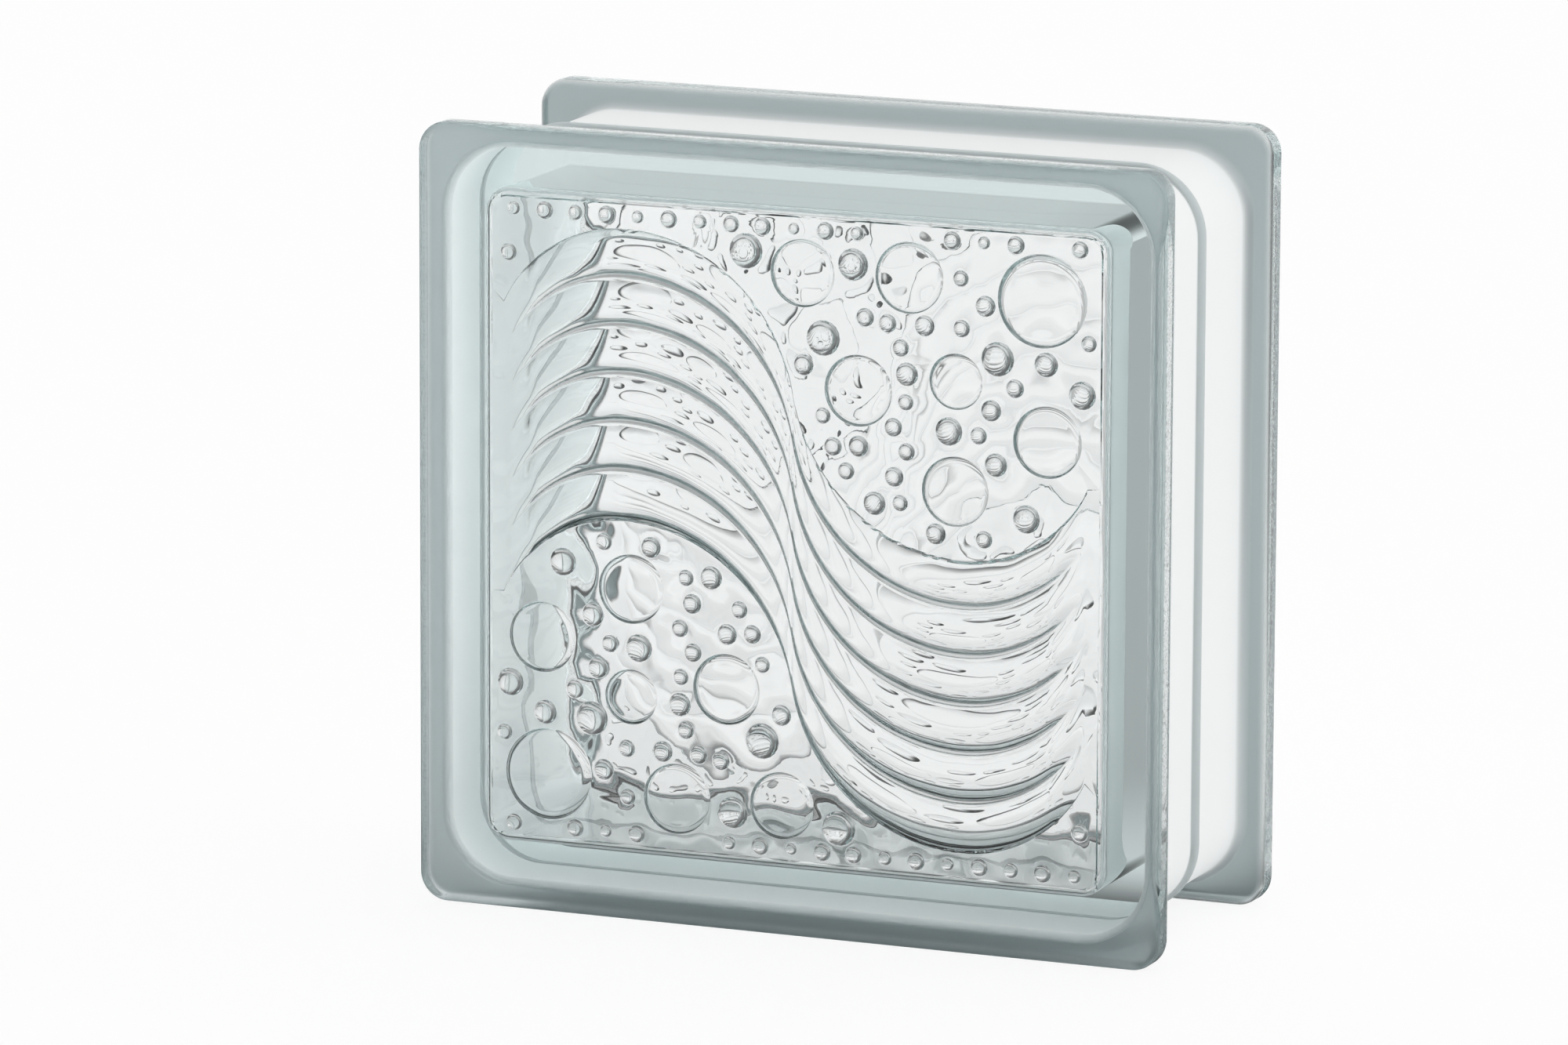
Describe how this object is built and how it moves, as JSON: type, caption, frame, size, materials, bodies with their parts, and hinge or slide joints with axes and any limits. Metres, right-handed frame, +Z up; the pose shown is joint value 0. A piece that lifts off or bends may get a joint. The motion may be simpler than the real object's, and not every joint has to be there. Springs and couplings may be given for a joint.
{
  "type": "glass block",
  "caption": "Clear hollow pressed-glass building block with a square flanged face, a recessed mortar channel with a seam bead, and wave and bubble relief on its inner faces.",
  "frame": {"origin": "middle of the block's footprint, on the level it stands on", "axes": "+X to the right seen from the front face, +Y through the block's depth towards its back face, +Z up"},
  "size_m": [0.19, 0.08, 0.19],
  "materials": {
    "glass": "clear glass with a faint grey-green tint, smooth pressed faces"
  },
  "bodies": {
    "root": {"glass_block": "glass"}
  },
  "joints": []
}
